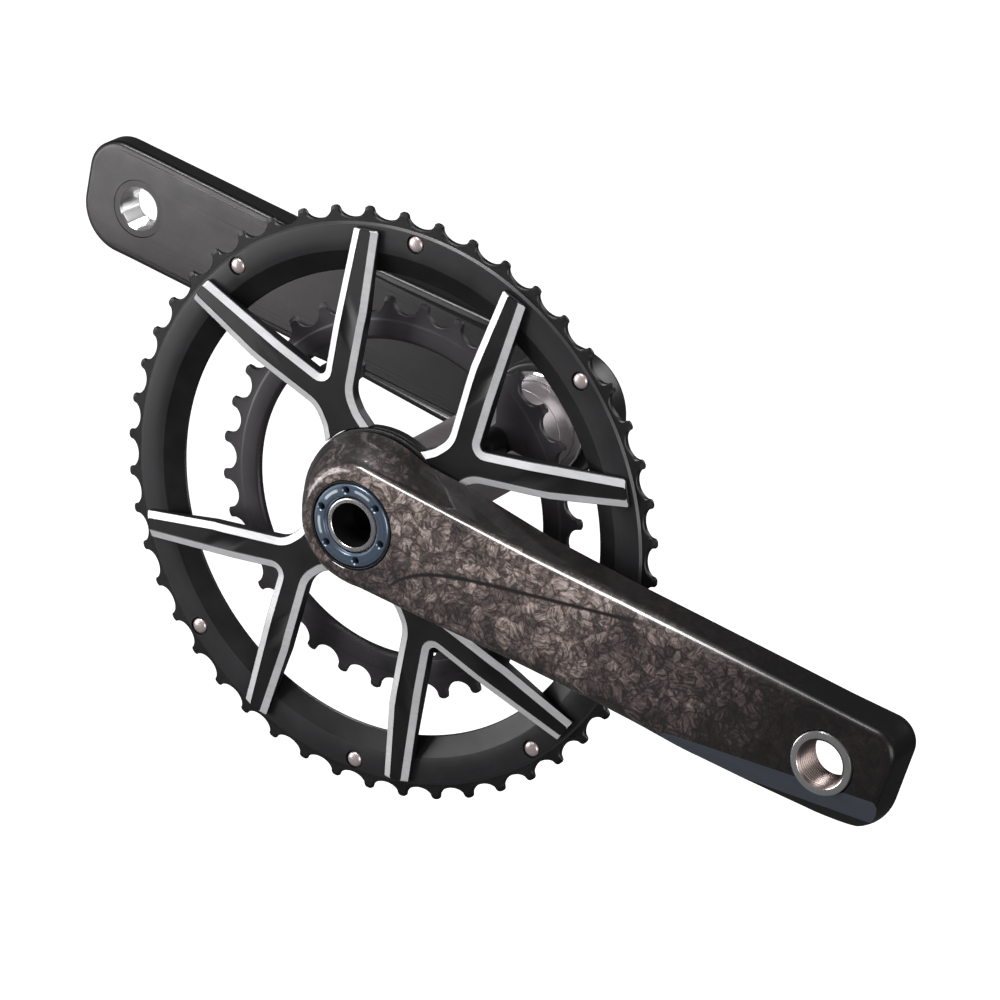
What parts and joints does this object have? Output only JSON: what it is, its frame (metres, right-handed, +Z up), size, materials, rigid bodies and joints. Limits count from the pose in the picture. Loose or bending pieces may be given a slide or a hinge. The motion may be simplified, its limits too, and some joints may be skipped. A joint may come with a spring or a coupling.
{
  "type": "bicycle crankset",
  "caption": "Road bicycle crankset: crank arms on a hollow spindle, large and small chainrings on a forked spider, pedal holes and a self-extracting centre bolt.",
  "frame": {"origin": "on the spindle's axis, midway between the two bottom bracket bearing faces", "axes": "+X along the drive-side arm, +Y along the spindle towards the non-drive side, +Z up"},
  "size_m": [0.3915, 0.1456, 0.1942],
  "materials": {
    "marbled_carbon": "gloss",
    "matt_carbon": "satin",
    "polished_aluminium": "polished",
    "grey_anodised_aluminium": "satin",
    "black_anodised_aluminium": "anodised",
    "dark_grey_aluminium": "anodised",
    "steel": "satin",
    "blue_grey_aluminium": "anodised",
    "black_steel": "black oxide",
    "black_rubber": "matte"
  },
  "bodies": {
    "frame_side": {"drive_bearing_cover": "polished_aluminium", "nondrive_bearing_cover": "polished_aluminium", "drive_bearing_seal": "black_rubber", "nondrive_bearing_seal": "black_rubber"},
    "crank": {"drive_arm": "marbled_carbon", "nondrive_arm": "matt_carbon", "drive_pedal_insert": "polished_aluminium", "nondrive_pedal_insert": "polished_aluminium", "spindle": "grey_anodised_aluminium", "drive_hub_insert": "black_anodised_aluminium", "nondrive_hub_insert": "polished_aluminium", "chainring_lockring": "black_anodised_aluminium", "wave_washer": "steel", "drive_spacer": "black_anodised_aluminium", "outer_chainring": "black_anodised_aluminium", "inner_chainring": "dark_grey_aluminium", "spider_hub": "black_anodised_aluminium", "spider_arm_1": "black_anodised_aluminium", "spider_arm_2": "black_anodised_aluminium", "spider_arm_3": "black_anodised_aluminium", "spider_arm_4": "black_anodised_aluminium", "inner_ring_bolt_1": "black_steel", "inner_ring_bolt_2": "black_steel", "inner_ring_bolt_3": "black_steel", "inner_ring_bolt_4": "black_steel", "shift_pin_1": "steel", "shift_pin_2": "steel", "shift_pin_3": "steel", "shift_pin_4": "steel", "shift_pin_5": "steel", "shift_pin_6": "steel", "chain_pin": "steel", "bolt_washer": "steel"},
    "bolt": {"crank_bolt": "steel"},
    "extractor": {"extractor_ring": "blue_grey_aluminium"}
  },
  "joints": [
    {"name": "crank_spin", "type": "hinge", "parent": "frame_side", "child": "crank", "pos_m": [0, 0, 0], "axis": [0, 1, 0], "continuous": true},
    {"name": "bolt_turn", "type": "hinge", "parent": "crank", "child": "bolt", "pos_m": [0, 0, 0], "axis": [0, 1, 0], "continuous": true},
    {"name": "extractor_turn", "type": "hinge", "parent": "crank", "child": "extractor", "pos_m": [0, 0, 0], "axis": [0, 1, 0], "continuous": true}
  ]
}
